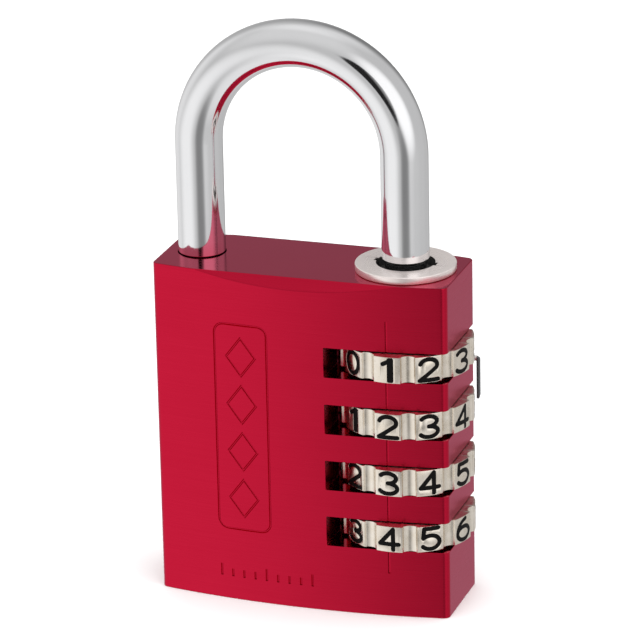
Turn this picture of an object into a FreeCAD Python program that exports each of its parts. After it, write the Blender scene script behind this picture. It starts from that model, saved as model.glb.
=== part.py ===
import FreeCAD, Part
import math
import os
import Sketcher

os.makedirs("parts", exist_ok=True)

# Four-wheel combination padlock, millimetres.
# Frame: origin at the centre of the body's bottom face, +X towards the number wheels,
# +Y towards the back face, +Z up towards the shackle.

WHEEL_COUNT = 4

DIMENSIONS = {
    # body
    "BodyWidth": 40.0,
    "BodyHeight": 45.8,
    "HalfDepthMiddle": 8.05,
    "FaceRadius": 115.0,
    "CornerRadius": 0.9,
    "BevelHalfDepth": 7.2,
    "BevelAngle": 30.0,
    "EdgeBreak": 0.25,
    "CutPast": 4.0,
    # shackle
    "ShackleRadius": 3.12,
    "LegSpacing": 27.96,
    "BowHeight": 61.1,
    "Lift": 7.8,
    "ToeDepth": 5.0,
    "ToeRadius": 2.8,
    "ToeEnd": 0.6,
    "LegGap": 0.1,
    "ToeHoleRadius": 3.2,
    "ToeHoleDepth": 5.6,
    "NeckRadius": 2.72,
    "NeckTop": 47.0,
    "NeckTaper": 0.4,
    "StemRadius": 2.4,
    "StemTop": 42.0,
    "StemEnd": 8.2,
    "SpigotRadius": 1.2,
    "SpigotLength": 1.4,
    # wheel column
    "AxisX": 12.7,
    "TopWheelHeight": 34.8,
    "WheelPitch": 7.83,
    "WheelRadius": 8.8,
    "WheelBottom": -1.65,
    "WheelTop": 1.92,
    "WheelChamfer": 0.12,
    "WheelBore": 5.45,
    "ValleyDepth": 0.65,
    "ValleyFloorAngle": 3.0,
    "ValleyWallAngle": 5.6,
    "ValleyMouthAngle": 6.4,
    "ValleyStep": 0.32,
    "ToothCount": 10,
    "ToothAngle": 15.0,
    "WheelToothTip": 4.98,
    "WheelToothBottom": 0.65,
    "SlotHalfHeight": 2.04,
    "SlotLeft": 3.85,
    "SlotRelief": 9.15,
    "BoreRadius": 5.5,
    # clutch sleeves
    "SleeveRadius": 5.3,
    "SleeveCore": 4.83,
    "SleevePocket": 4.1,
    "SleeveGate": 2.6,
    "SleeveBottom": -4.68,
    "SleeveTop": 3.08,
    "GateFloor": 1.3,
    "GateOver": 0.4,
    "SleeveToothBottom": 0.55,
    "SleeveToothTop": 1.7,
    "SleeveToothGap": 19.0,
    "KeyGrooveRadius": 4.65,
    "KeyGrooveBottom": -4.06,
    "KeyGrooveTop": -2.89,
    "GateSlotWidth": 1.9,
    "GateSlotReach": 4.05,
    # gate pins
    "PinRadius": 0.75,
    "PinReach": 3.85,
    "PinOffset": -1.25,
    # threaded bush round the long leg
    "BushFlangeRadius": 6.6,
    "BushFlangeHeight": 1.0,
    "BushBarrelRadius": 5.48,
    "BushDepth": 3.3,
    "BushChamfer": 0.12,
    "BushBore": 2.85,
    "BushMouthRadius": 3.85,
    "BushMouthDepth": 1.3,
    "SpannerReach": 4.15,
    "SpannerWidth": 1.0,
    "SpannerDepth": 0.85,
    # bottom plug and its pin
    "PlugBottom": 0.3,
    "PlugTop": 3.2,
    "PlugRadius": 5.48,
    "PlugBoss": 1.0,
    "PlugPinRadius": 0.8,
    "PlugPinHeight": 1.75,
    "PlugPinInner": -4.5,
    "PlugPinOuter": 7.1,
    # springs
    "ShackleSpringCoil": 1.75,
    "ShackleSpringWire": 0.25,
    "ShackleSpringTurns": 7.0,
    "DiscInner": 4.5,
    "DiscOuter": 5.2,
    "DiscThickness": 0.3,
    "DiscFolds": 4.0,
    "SpringGap": 0.03,
    # detent spring
    "DetentX": 2.3,
    "DetentThickness": 0.25,
    "DetentHalfWidth": 0.55,
    "DetentTip": 4.45,
    "DetentRise": 1.7,
    "DetentTipHalf": 0.25,
    "DetentBottom": 3.1,
    "DetentTopEnd": 39.0,
    "DetentHoleX": 2.6,
    "DetentHoleRadius": 1.3,
    "DetentHoleTop": 40.0,
    "DetentPlugTop": 2.8,
    # reset slider
    "KeyBottom": 30.8,
    "KeyHeight": 1.05,
    "KeyInnerX": 17.5,
    "KeyOuterX": 18.9,
    "KeyInnerY": -1.2,
    "ResetTravel": 1.2,
    "KeyClear": 0.1,
    "TabInnerX": 19.67,
    "TabOuterX": 19.99,
    "TabInnerY": 8.2,
    "TabOuterY": 9.1,
    "TabBottom": 25.54,
    "TabTop": 31.3,
    "TabSlopeUp": 0.35,
    "ArmHeight": 0.45,
    "TabSlopeIn": 0.4,
    "GuidePinRadius": 0.35,
    "PinClear": 0.06,
    "GuidePinX": 18.2,
    "GuidePinY": 3.6,
    # index line
    "IndexWidth": 0.3,
    "IndexDepth": 0.18,
    "IndexBottom": 6.0,
    "IndexTop": 41.0,
    "IndexX": 12.23,
}

doc = FreeCAD.newDocument("CombinationPadlock")
dims = doc.addObject("Spreadsheet::Sheet", "Dims")
for row, (alias, size) in enumerate(DIMENSIONS.items(), start=1):
    dims.set("A%d" % row, alias)
    dims.set("B%d" % row, repr(size))
    dims.setAlias("B%d" % row, alias)
doc.recompute()

NODES = []


def wheel_height(number):
    """Expression for the height of a wheel's window, wheel 1 at the top."""
    return "(Dims.TopWheelHeight - %d * Dims.WheelPitch)" % (number - 1)


def bind(thing, **sizes):
    """Tie properties of a document object to expressions over the sheet."""
    for name, expression in sizes.items():
        thing.setExpression(name, expression)
    return thing


def place(thing, along_x="0", along_y="0", along_z="0"):
    """Tie the place of an object to expressions over the sheet."""
    thing.setExpression(".Placement.Base.x", along_x)
    thing.setExpression(".Placement.Base.y", along_y)
    thing.setExpression(".Placement.Base.z", along_z)
    return thing


def node(thing, label):
    """Name a finished sub-part."""
    thing.Label = label
    NODES.append(thing)
    return thing


# ---------------------------------------------------------------- sketch helpers

def new_body(label):
    body = doc.addObject("PartDesign::Body", label)
    return node(body, label)


def sketch_on(body, role, name, offset="0"):
    """A sketch on one of the body's own origin planes, moved along the plane's normal."""
    plane = next(f for f in body.Origin.OriginFeatures if f.Role == role)
    sketch = body.newObject("Sketcher::SketchObject", body.Name + "_" + name)
    sketch.AttachmentSupport = (plane, "")
    sketch.MapMode = "FlatFace"
    sketch.setExpression(".AttachmentOffset.Base.z", offset)
    return sketch


def held(sketch, kind, geometry, point, expression, start):
    """Fix one coordinate of a point to an expression."""
    index = sketch.addConstraint(Sketcher.Constraint(kind, -1, 1, geometry, point, start))
    sketch.setExpression("Constraints[%d]" % index, expression)


def polygon(sketch, corners):
    """A closed outline of straight lines through corners given as pairs of expressions."""
    count = len(corners)
    first = sketch.GeometryCount
    spots = []
    for i in range(count):
        turn = 2 * math.pi * i / count
        spots.append(FreeCAD.Vector(20 + 9 * math.cos(turn), 20 + 9 * math.sin(turn), 0))
    for i in range(count):
        sketch.addGeometry(Part.LineSegment(spots[i], spots[(i + 1) % count]), False)
    for i in range(count):
        sketch.addConstraint(
            Sketcher.Constraint("Coincident", first + i, 2, first + (i + 1) % count, 1)
        )
    for i, (across, up) in enumerate(corners):
        held(sketch, "DistanceX", first + i, 1, across, spots[i].x)
        held(sketch, "DistanceY", first + i, 1, up, spots[i].y)


def rectangle(sketch, left, bottom, right, top):
    polygon(sketch, [(left, bottom), (right, bottom), (right, top), (left, top)])


def circle(sketch, across, up, radius):
    spot = sketch.addGeometry(
        Part.Circle(FreeCAD.Vector(5, 5, 0), FreeCAD.Vector(0, 0, 1), 2), False
    )
    held(sketch, "DistanceX", spot, 3, across, 5)
    held(sketch, "DistanceY", spot, 3, up, 5)
    index = sketch.addConstraint(Sketcher.Constraint("Radius", spot, 2))
    sketch.setExpression("Constraints[%d]" % index, radius)


def polar_point(radius, angle):
    """A point of a plan given by a radius and an angle from the front, both expressions."""
    return (
        "(%s) * sin(%s)" % (radius, angle),
        "-(%s) * cos(%s)" % (radius, angle),
    )


def feature(body, kind, name, sketch, **sizes):
    """A sketch-based feature of a body."""
    made = body.newObject("PartDesign::" + kind, body.Name + "_" + name)
    made.Profile = sketch
    bind(made, **sizes)
    sketch.Visibility = False
    return made


def pad(body, name, sketch, length):
    return feature(body, "Pad", name, sketch, Length=length)


def cut_both_ways(body, name, sketch, length):
    """A pocket whose length is centred on the sketch's plane, so it has no direction."""
    made = feature(body, "Pocket", name, sketch, Length=length)
    made.Midplane = True
    return made


def revolve(body, name, outline):
    """A solid of revolution about the body's own Z axis, from a half section (r, z)."""
    sketch = sketch_on(body, "XZ_Plane", name + "_section")
    polygon(sketch, outline)
    made = body.newObject("PartDesign::Revolution", body.Name + "_" + name)
    made.Profile = sketch
    made.ReferenceAxis = (sketch, ["V_Axis"])
    made.Angle = 360.0
    return made


def repeat_round(body, name, original, count):
    """Repeat a cut about the body's own Z axis."""
    axis = next(f for f in body.Origin.OriginFeatures if f.Role == "Z_Axis")
    pattern = body.newObject("PartDesign::PolarPattern", body.Name + "_" + name)
    pattern.Originals = [original]
    pattern.Axis = (axis, [""])
    pattern.Angle = 360.0
    pattern.setExpression("Occurrences", count)
    body.Tip = pattern
    return pattern


# ---------------------------------------------------------------- lock body

def draw_plan(plan):
    """Lens-like outline: a shallow arc front and back, flat ends."""
    half_width = DIMENSIONS["BodyWidth"] / 2
    radius = DIMENSIONS["FaceRadius"]
    middle = DIMENSIONS["HalfDepthMiddle"]
    end = middle - (radius - math.sqrt(radius ** 2 - half_width ** 2))

    def spot(across, along):
        return FreeCAD.Vector(across, along, 0)

    back = Part.Arc(spot(half_width, end), spot(0, middle), spot(-half_width, end))
    left = Part.LineSegment(spot(-half_width, end), spot(-half_width, -end))
    front = Part.Arc(spot(-half_width, -end), spot(0, -middle), spot(half_width, -end))
    right = Part.LineSegment(spot(half_width, -end), spot(half_width, end))
    for number, edge in enumerate((back, left, front, right)):
        plan.addGeometry(edge, False)
    for number in range(4):
        plan.addConstraint(Sketcher.Constraint("Coincident", number, 2, (number + 1) % 4, 1))
    plan.addConstraint(Sketcher.Constraint("Vertical", 1))
    plan.addConstraint(Sketcher.Constraint("Vertical", 3))
    held(plan, "DistanceX", 1, 1, "-Dims.BodyWidth / 2", -half_width)
    held(plan, "DistanceX", 3, 1, "Dims.BodyWidth / 2", half_width)
    for arc, side in ((0, 1), (2, -1)):
        held(plan, "DistanceX", arc, 3, "0", 0)
        centre = "%d * (Dims.HalfDepthMiddle - Dims.FaceRadius)" % side
        held(plan, "DistanceY", arc, 3, centre, side * (middle - radius))
        index = plan.addConstraint(Sketcher.Constraint("Radius", arc, radius))
        plan.setExpression("Constraints[%d]" % index, "Dims.FaceRadius")


def dress_edges(body, kind, name, base, chosen, size_name, size):
    """Fillet or chamfer those edges of the last feature that a test picks."""
    doc.recompute()
    picked = []
    for number, edge in enumerate(base.Shape.Edges, start=1):
        if chosen(edge.BoundBox):
            picked.append("Edge%d" % number)
    dressed = body.newObject("PartDesign::" + kind, body.Name + "_" + name)
    dressed.Base = (base, picked)
    dressed.setExpression(size_name, size)
    doc.recompute()
    return dressed


def cut_bevels(body):
    """Long flat bevels along the top of the front and back faces."""
    bevel = sketch_on(body, "YZ_Plane", "bevel")
    drop = "(Dims.CutPast / tan(Dims.BevelAngle))"
    for side in ("1", "-1"):
        inner = "%s * Dims.BevelHalfDepth" % side
        outer = "%s * (Dims.BevelHalfDepth + Dims.CutPast)" % side
        low = "Dims.BodyHeight - %s" % drop
        polygon(bevel, [(inner, "Dims.BodyHeight"), (outer, "Dims.BodyHeight"), (outer, low)])
    cut_both_ways(body, "bevel_cut", bevel, "Dims.BodyWidth + Dims.CutPast")


def cut_windows(body):
    """Wheel windows, open to the front, the back and the right."""
    windows = sketch_on(body, "XZ_Plane", "windows")
    for number in range(1, WHEEL_COUNT + 1):
        low = "%s - Dims.SlotHalfHeight" % wheel_height(number)
        high = "%s + Dims.SlotHalfHeight" % wheel_height(number)
        rectangle(windows, "Dims.SlotLeft", low, "Dims.BodyWidth / 2 + Dims.CutPast", high)
    cut_both_ways(body, "window_cut", windows, "4 * Dims.HalfDepthMiddle")
    for number in range(1, WHEEL_COUNT + 1):
        relief = sketch_on(body, "XY_Plane", "relief_%d" % number, wheel_height(number))
        circle(relief, "Dims.AxisX", "0", "Dims.SlotRelief")
        cut_both_ways(body, "relief_cut_%d" % number, relief, "2 * Dims.SlotHalfHeight")


def cut_upright_holes(body):
    """Wheel column bore, toe hole, detent spring hole and guide pin hole."""
    bar_middle = "%s - Dims.WheelPitch / 2" % wheel_height(1)
    bar_height = "Dims.WheelPitch - 2 * Dims.SlotHalfHeight"
    holes = (
        ("bore", "Dims.AxisX", "0", "Dims.BoreRadius", "0", "3 * Dims.BodyHeight"),
        (
            "toe",
            "Dims.AxisX - Dims.LegSpacing",
            "0",
            "Dims.ToeHoleRadius",
            "Dims.BodyHeight",
            "2 * Dims.ToeHoleDepth",
        ),
        (
            "spring_hole",
            "Dims.DetentHoleX",
            "0",
            "Dims.DetentHoleRadius",
            "0",
            "2 * Dims.DetentHoleTop",
        ),
        (
            "guide",
            "Dims.GuidePinX",
            "Dims.GuidePinY",
            "Dims.GuidePinRadius",
            bar_middle,
            bar_height,
        ),
    )
    for name, across, along, radius, level, length in holes:
        sketch = sketch_on(body, "XY_Plane", name, level)
        circle(sketch, across, along, radius)
        cut_both_ways(body, name + "_cut", sketch, length)


def cut_from_back(body, name, sketch, inner):
    """Deepen a sketch on the XZ plane from the back face in to a given Y."""
    outer = "(Dims.HalfDepthMiddle + Dims.CutPast)"
    sketch.setExpression(".AttachmentOffset.Base.z", "-(%s + (%s)) / 2" % (outer, inner))
    cut_both_ways(body, name, sketch, "%s - (%s)" % (outer, inner))


def cut_keyway(body):
    """Slot that the reset slider's key slides in, between wheels 1 and 2."""
    keyway = sketch_on(body, "XZ_Plane", "keyway")
    rectangle(
        keyway,
        "Dims.KeyInnerX - Dims.KeyClear",
        "Dims.KeyBottom - Dims.ResetTravel - Dims.KeyClear",
        "Dims.KeyOuterX + Dims.KeyClear",
        "Dims.KeyBottom + Dims.KeyHeight + Dims.KeyClear",
    )
    cut_from_back(body, "keyway_cut", keyway, "Dims.KeyInnerY - Dims.KeyClear")


def cut_cross_hole(body):
    """Hole of the pin that holds the bottom plug."""
    cross = sketch_on(body, "XZ_Plane", "cross")
    circle(cross, "Dims.AxisX", "Dims.PlugPinHeight", "Dims.PlugPinRadius")
    cut_from_back(body, "cross_cut", cross, "Dims.PlugPinInner")


def cut_index_line(body):
    """Fine line down the front that the set numbers are read against."""
    index = sketch_on(body, "XZ_Plane", "index", "Dims.HalfDepthMiddle")
    left = "Dims.IndexX - Dims.IndexWidth / 2"
    right = "Dims.IndexX + Dims.IndexWidth / 2"
    rectangle(index, left, "Dims.IndexBottom", right, "Dims.IndexTop")
    sag = "(Dims.FaceRadius - sqrt(Dims.FaceRadius ^ 2 - Dims.IndexX ^ 2))"
    cut_both_ways(body, "index_cut", index, "2 * (%s + Dims.IndexDepth)" % sag)


def make_lock_body():
    body = new_body("lock_body")
    plan = sketch_on(body, "XY_Plane", "plan")
    draw_plan(plan)
    block = pad(body, "block", plan, "Dims.BodyHeight")
    corners = dress_edges(
        body,
        "Fillet",
        "corners",
        block,
        lambda span: span.ZLength > DIMENSIONS["BodyHeight"] / 2,
        "Radius",
        "Dims.CornerRadius",
    )
    dress_edges(
        body,
        "Chamfer",
        "breaks",
        corners,
        lambda span: span.ZLength < 0.01,
        "Size",
        "Dims.EdgeBreak",
    )
    cut_bevels(body)
    cut_windows(body)
    cut_upright_holes(body)
    cut_keyway(body)
    cut_cross_hole(body)
    cut_index_line(body)


make_lock_body()


# ---------------------------------------------------------------- primitives

def cylinder(name, radius, bottom, height, across="0", along="0"):
    made = doc.addObject("Part::Cylinder", name)
    bind(made, Radius=radius, Height=height)
    return place(made, across, along, bottom)


def cylinder_along_y(name, radius, start, length, across, up):
    """A cylinder lying along +Y, from the given Y."""
    made = doc.addObject("Part::Cylinder", name)
    bind(made, Radius=radius, Height=length)
    made.Placement = FreeCAD.Placement(
        FreeCAD.Vector(0, 0, 0), FreeCAD.Rotation(FreeCAD.Vector(1, 0, 0), -90)
    )
    return place(made, across, start, up)


def cone(name, bottom_radius, top_radius, bottom, height, across="0", along="0"):
    made = doc.addObject("Part::Cone", name)
    bind(made, Radius1=bottom_radius, Radius2=top_radius, Height=height)
    return place(made, across, along, bottom)


def fuse(name, things):
    made = doc.addObject("Part::MultiFuse", name)
    made.Shapes = things
    made.Refine = True
    return made


def cut(name, base, tool):
    made = doc.addObject("Part::Cut", name)
    made.Base = base
    made.Tool = tool
    made.Refine = True
    return made


# ---------------------------------------------------------------- shackle

TOE_X = "Dims.AxisX - Dims.LegSpacing"


def make_shackle():
    bow = doc.addObject("Part::Torus", "shackle_bow")
    bind(bow, Radius1="Dims.LegSpacing / 2", Radius2="Dims.ShackleRadius")
    bow.Angle3 = 180
    bow.Placement = FreeCAD.Placement(
        FreeCAD.Vector(0, 0, 0), FreeCAD.Rotation(FreeCAD.Vector(1, 0, 0), 90)
    )
    place(bow, "Dims.AxisX - Dims.LegSpacing / 2", "0", "Dims.BowHeight")

    short_leg = cylinder(
        "shackle_short_leg",
        "Dims.ShackleRadius",
        "Dims.BodyHeight + Dims.LegGap",
        "Dims.BowHeight - Dims.BodyHeight - Dims.LegGap",
        TOE_X,
    )
    toe_bottom = "Dims.BodyHeight - Dims.ToeDepth"
    toe = cylinder(
        "shackle_toe", "Dims.ToeRadius", toe_bottom + " + Dims.ToeEnd", "Dims.ToeDepth", TOE_X
    )
    toe_end = cone(
        "shackle_toe_end",
        "Dims.ToeRadius - Dims.ToeEnd",
        "Dims.ToeRadius",
        toe_bottom,
        "Dims.ToeEnd",
        TOE_X,
    )
    shoulder = "Dims.NeckTop + Dims.NeckTaper"
    long_leg = cylinder(
        "shackle_long_leg",
        "Dims.ShackleRadius",
        shoulder,
        "Dims.BowHeight - (%s)" % shoulder,
        "Dims.AxisX",
    )
    taper = cone(
        "shackle_taper",
        "Dims.NeckRadius",
        "Dims.ShackleRadius",
        "Dims.NeckTop",
        "Dims.NeckTaper",
        "Dims.AxisX",
    )
    neck = cylinder(
        "shackle_neck",
        "Dims.NeckRadius",
        "Dims.StemTop",
        "Dims.NeckTop - Dims.StemTop",
        "Dims.AxisX",
    )
    stem = cylinder(
        "shackle_stem",
        "Dims.StemRadius",
        "Dims.StemEnd",
        "Dims.StemTop - Dims.StemEnd + 1",
        "Dims.AxisX",
    )
    spigot = cylinder(
        "shackle_spigot",
        "Dims.SpigotRadius",
        "Dims.StemEnd - Dims.SpigotLength",
        "Dims.SpigotLength + 1",
        "Dims.AxisX",
    )
    bar = fuse(
        "shackle_bar", [bow, short_leg, toe, toe_end, long_leg, taper, neck, stem, spigot]
    )
    holes = []
    for number in range(1, WHEEL_COUNT + 1):
        holes.append(
            cylinder_along_y(
                "shackle_pin_hole_%d" % number,
                "Dims.PinRadius",
                "-Dims.PinReach",
                "2 * Dims.PinReach",
                "Dims.AxisX",
                "%s + Dims.PinOffset" % wheel_height(number),
            )
        )
    node(cut("shackle_with_pin_holes", bar, fuse("shackle_pin_holes", holes)), "shackle")

    for number in range(1, WHEEL_COUNT + 1):
        pin = cylinder_along_y(
            "gate_pin_solid_%d" % number,
            "Dims.PinRadius",
            "-Dims.PinReach",
            "2 * Dims.PinReach",
            "Dims.AxisX",
            "%s + Dims.PinOffset" % wheel_height(number),
        )
        node(pin, "gate_pin_%d" % number)


make_shackle()


# ---------------------------------------------------------------- number wheels

def make_wheel(number):
    body = new_body("number_wheel_%d" % number)
    revolve(
        body,
        "blank",
        [
            ("Dims.WheelBore", "Dims.WheelBottom"),
            ("Dims.WheelRadius - Dims.WheelChamfer", "Dims.WheelBottom"),
            ("Dims.WheelRadius", "Dims.WheelBottom + Dims.WheelChamfer"),
            ("Dims.WheelRadius", "Dims.WheelTop - Dims.WheelChamfer"),
            ("Dims.WheelRadius - Dims.WheelChamfer", "Dims.WheelTop"),
            ("Dims.WheelToothTip", "Dims.WheelTop"),
            ("Dims.WheelToothTip", "Dims.WheelToothBottom"),
            ("Dims.WheelBore", "Dims.WheelToothBottom"),
        ],
    )

    # valley between two number pads, centred half a step from the index
    valley = sketch_on(body, "XY_Plane", "valley")
    half_step = "180 / Dims.ToothCount"
    floor = "Dims.WheelRadius - Dims.ValleyDepth"
    wall = "Dims.WheelRadius - Dims.ValleyStep"
    polygon(
        valley,
        [
            polar_point("Dims.WheelRadius", "%s - Dims.ValleyMouthAngle" % half_step),
            polar_point("Dims.WheelRadius + 1", "%s - Dims.ValleyMouthAngle" % half_step),
            polar_point("Dims.WheelRadius + 1", "%s + Dims.ValleyMouthAngle" % half_step),
            polar_point("Dims.WheelRadius", "%s + Dims.ValleyMouthAngle" % half_step),
            polar_point(wall, "%s + Dims.ValleyWallAngle" % half_step),
            polar_point(floor, "%s + Dims.ValleyFloorAngle" % half_step),
            polar_point(floor, "%s - Dims.ValleyFloorAngle" % half_step),
            polar_point(wall, "%s - Dims.ValleyWallAngle" % half_step),
        ],
    )
    valley_cut = cut_both_ways(body, "valley_cut", valley, "4 * Dims.WheelTop")
    repeat_round(body, "valleys", valley_cut, "Dims.ToothCount")

    # space between two of the inner clutch teeth
    space = sketch_on(body, "XY_Plane", "space")
    gap_half = "(180 / Dims.ToothCount - Dims.ToothAngle / 2)"
    polygon(
        space,
        [
            polar_point("Dims.WheelToothTip - 1", "-%s" % gap_half),
            polar_point("Dims.WheelToothTip - 1", gap_half),
            polar_point("Dims.WheelBore", gap_half),
            polar_point("Dims.WheelBore / cos(%s)" % gap_half, "0"),
            polar_point("Dims.WheelBore", "-%s" % gap_half),
        ],
    )
    space_cut = cut_both_ways(body, "space_cut", space, "4 * Dims.WheelTop")
    repeat_round(body, "spaces", space_cut, "Dims.ToothCount")
    place(body, "Dims.AxisX", "0", wheel_height(number))


# ---------------------------------------------------------------- clutch sleeves

def make_sleeve(number):
    body = new_body("clutch_sleeve_%d" % number)
    revolve(
        body,
        "blank",
        [
            ("Dims.SleevePocket", "Dims.SleeveBottom"),
            ("Dims.SleeveRadius", "Dims.SleeveBottom"),
            ("Dims.SleeveRadius", "Dims.KeyGrooveBottom"),
            ("Dims.KeyGrooveRadius", "Dims.KeyGrooveBottom"),
            ("Dims.KeyGrooveRadius", "Dims.KeyGrooveTop"),
            ("Dims.SleeveRadius", "Dims.KeyGrooveTop"),
            ("Dims.SleeveRadius", "Dims.SleeveToothTop"),
            ("Dims.SleeveCore", "Dims.SleeveToothTop"),
            ("Dims.SleeveCore", "Dims.SleeveTop"),
            ("Dims.SleeveGate", "Dims.SleeveTop"),
            ("Dims.SleeveGate", "Dims.GateFloor"),
            ("Dims.SleevePocket", "Dims.GateFloor"),
        ],
    )

    # space between two clutch teeth, centred where a tooth of the wheel stands
    space = sketch_on(
        body,
        "XY_Plane",
        "space",
        "(Dims.SleeveToothBottom + Dims.SleeveToothTop) / 2",
    )
    middle = "180 / Dims.ToothCount"
    side = "Dims.SleeveToothGap / 2"
    polygon(
        space,
        [
            polar_point("Dims.SleeveCore", "%s - %s" % (middle, side)),
            polar_point("Dims.SleeveRadius + 1", "%s - %s" % (middle, side)),
            polar_point("Dims.SleeveRadius + 1", "%s + %s" % (middle, side)),
            polar_point("Dims.SleeveCore", "%s + %s" % (middle, side)),
        ],
    )
    space_cut = cut_both_ways(
        body, "space_cut", space, "Dims.SleeveToothTop - Dims.SleeveToothBottom"
    )
    repeat_round(body, "spaces", space_cut, "Dims.ToothCount")

    # gate: the slot that lets the leg's pin through when the wheel shows its number
    gate = sketch_on(body, "XY_Plane", "gate", "(Dims.GateFloor + Dims.SleeveTop) / 2")
    rectangle(
        gate,
        "-Dims.GateSlotWidth / 2",
        "-Dims.GateSlotReach",
        "Dims.GateSlotWidth / 2",
        "Dims.GateSlotReach",
    )
    cut_both_ways(body, "gate_cut", gate, "Dims.SleeveTop - Dims.GateFloor + Dims.GateOver")
    place(body, "Dims.AxisX", "0", wheel_height(number))


for wheel in range(1, WHEEL_COUNT + 1):
    make_wheel(wheel)
    make_sleeve(wheel)


# ---------------------------------------------------------------- bush and plugs

def make_bush():
    body = new_body("flange_bush")
    revolve(
        body,
        "blank",
        [
            ("Dims.BushBore", "-Dims.BushDepth"),
            ("Dims.BushBarrelRadius", "-Dims.BushDepth"),
            ("Dims.BushBarrelRadius", "0"),
            ("Dims.BushFlangeRadius", "0"),
            ("Dims.BushFlangeRadius", "Dims.BushFlangeHeight - Dims.BushChamfer"),
            ("Dims.BushFlangeRadius - Dims.BushChamfer", "Dims.BushFlangeHeight"),
            ("Dims.BushMouthRadius", "Dims.BushFlangeHeight"),
            ("Dims.BushMouthRadius", "Dims.BushFlangeHeight - Dims.BushMouthDepth"),
            ("Dims.BushBore", "Dims.BushFlangeHeight - Dims.BushMouthDepth"),
        ],
    )
    slots = sketch_on(body, "XY_Plane", "slots", "Dims.BushFlangeHeight")
    rectangle(
        slots,
        "-Dims.SpannerReach",
        "-Dims.SpannerWidth / 2",
        "Dims.SpannerReach",
        "Dims.SpannerWidth / 2",
    )
    cut_both_ways(body, "slots_cut", slots, "2 * Dims.SpannerDepth")
    place(body, "Dims.AxisX", "0", "Dims.BodyHeight")


def make_plugs():
    disc = cylinder(
        "bottom_plug_disc",
        "Dims.PlugRadius",
        "Dims.PlugBottom",
        "Dims.PlugTop - Dims.PlugBottom",
        "Dims.AxisX",
    )
    boss = cylinder(
        "bottom_plug_boss",
        "Dims.SpigotRadius",
        "Dims.PlugTop - Dims.PlugBoss",
        "2 * Dims.PlugBoss",
        "Dims.AxisX",
    )
    hole = cylinder_along_y(
        "bottom_plug_hole",
        "Dims.PlugPinRadius",
        "Dims.PlugPinInner",
        "Dims.PlugPinOuter - Dims.PlugPinInner",
        "Dims.AxisX",
        "Dims.PlugPinHeight",
    )
    plug = fuse("bottom_plug_turned", [disc, boss])
    node(cut("bottom_plug_drilled", plug, hole), "bottom_plug")

    pin = cylinder_along_y(
        "plug_pin_solid",
        "Dims.PlugPinRadius",
        "Dims.PlugPinInner",
        "Dims.PlugPinOuter - Dims.PlugPinInner",
        "Dims.AxisX",
        "Dims.PlugPinHeight",
    )
    node(pin, "plug_pin")

    small = cylinder(
        "detent_plug_solid",
        "Dims.DetentHoleRadius",
        "Dims.PlugBottom",
        "Dims.DetentPlugTop - Dims.PlugBottom",
        "Dims.DetentHoleX",
    )
    node(small, "detent_plug")


make_bush()
make_plugs()


# ---------------------------------------------------------------- springs

def make_coil(label, coil, wire, turns, bottom, top):
    """A coil spring standing on the long leg's axis between two heights."""
    helix = doc.addObject("Part::Helix", label + "_helix")
    length = "((%s) - (%s) - 2 * %s - 2 * Dims.SpringGap)" % (top, bottom, wire)
    bind(helix, Radius=coil, Height=length, Pitch="%s / %s" % (length, turns))
    section = doc.addObject("Part::Circle", label + "_section")
    bind(section, Radius=wire)
    section.Placement = FreeCAD.Placement(
        FreeCAD.Vector(0, 0, 0), FreeCAD.Rotation(FreeCAD.Vector(1, 0, 0), 90)
    )
    section.setExpression(".Placement.Base.x", coil)
    doc.recompute()
    spring = doc.addObject("Part::Sweep", label + "_sweep")
    spring.Sections = [section]
    spring.Spine = (helix, ["Edge1"])
    spring.Solid = True
    spring.Frenet = True
    node(spring, label)
    place(spring, "Dims.AxisX", "0", "(%s) + %s + Dims.SpringGap" % (bottom, wire))


make_coil(
    "shackle_spring",
    "Dims.ShackleSpringCoil",
    "Dims.ShackleSpringWire",
    "Dims.ShackleSpringTurns",
    "Dims.PlugTop",
    "Dims.StemEnd",
)


def make_stack_spring():
    """Folded disc spring under the sleeves: four cones, edge to edge, in one piece."""
    body = new_body("stack_spring")
    bottom = "(Dims.PlugTop + Dims.SpringGap)"
    top = "(%s + Dims.SleeveBottom - Dims.SpringGap)" % wheel_height(WHEEL_COUNT)
    inner_side = []
    outer_side = []
    for fold in range(int(DIMENSIONS["DiscFolds"]) + 1):
        across = "Dims.DiscInner" if fold % 2 == 0 else "Dims.DiscOuter"
        level = "%s + %d * (%s - %s) / Dims.DiscFolds" % (bottom, fold, top, bottom)
        inner_side.append((across + " - Dims.DiscThickness", level))
        outer_side.append((across, level))
    revolve(body, "discs", inner_side + outer_side[::-1])
    place(body, "Dims.AxisX")


make_stack_spring()


def make_detent_spring():
    """One bowed strip of spring steel: a finger stands in a valley of each wheel."""
    body = new_body("detent_spring")
    strip = sketch_on(body, "XZ_Plane", "strip")
    inner = []
    outer = []

    def station(across, up):
        inner.append((across, up))
        outer.append(("(%s) - Dims.DetentThickness" % across, up))

    station("Dims.DetentX", "Dims.DetentBottom")
    for number in range(WHEEL_COUNT, 0, -1):
        height = wheel_height(number)
        station("Dims.DetentX", "%s - Dims.DetentRise" % height)
        station("Dims.DetentTip", "%s - Dims.DetentTipHalf" % height)
        station("Dims.DetentTip", "%s + Dims.DetentTipHalf" % height)
        station("Dims.DetentX", "%s + Dims.DetentRise" % height)
    station("Dims.DetentX", "Dims.DetentTopEnd")
    polygon(strip, inner + outer[::-1])
    made = pad(body, "strip_pad", strip, "2 * Dims.DetentHalfWidth")
    made.Midplane = True


make_detent_spring()


# ---------------------------------------------------------------- reset slider

def pad_across(body, name, sketch, low, high):
    """Pad a sketch on the YZ plane between two values of X."""
    sketch.setExpression(".AttachmentOffset.Base.z", "((%s) + (%s)) / 2" % (low, high))
    made = pad(body, name, sketch, "(%s) - (%s)" % (high, low))
    made.Midplane = True


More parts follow.
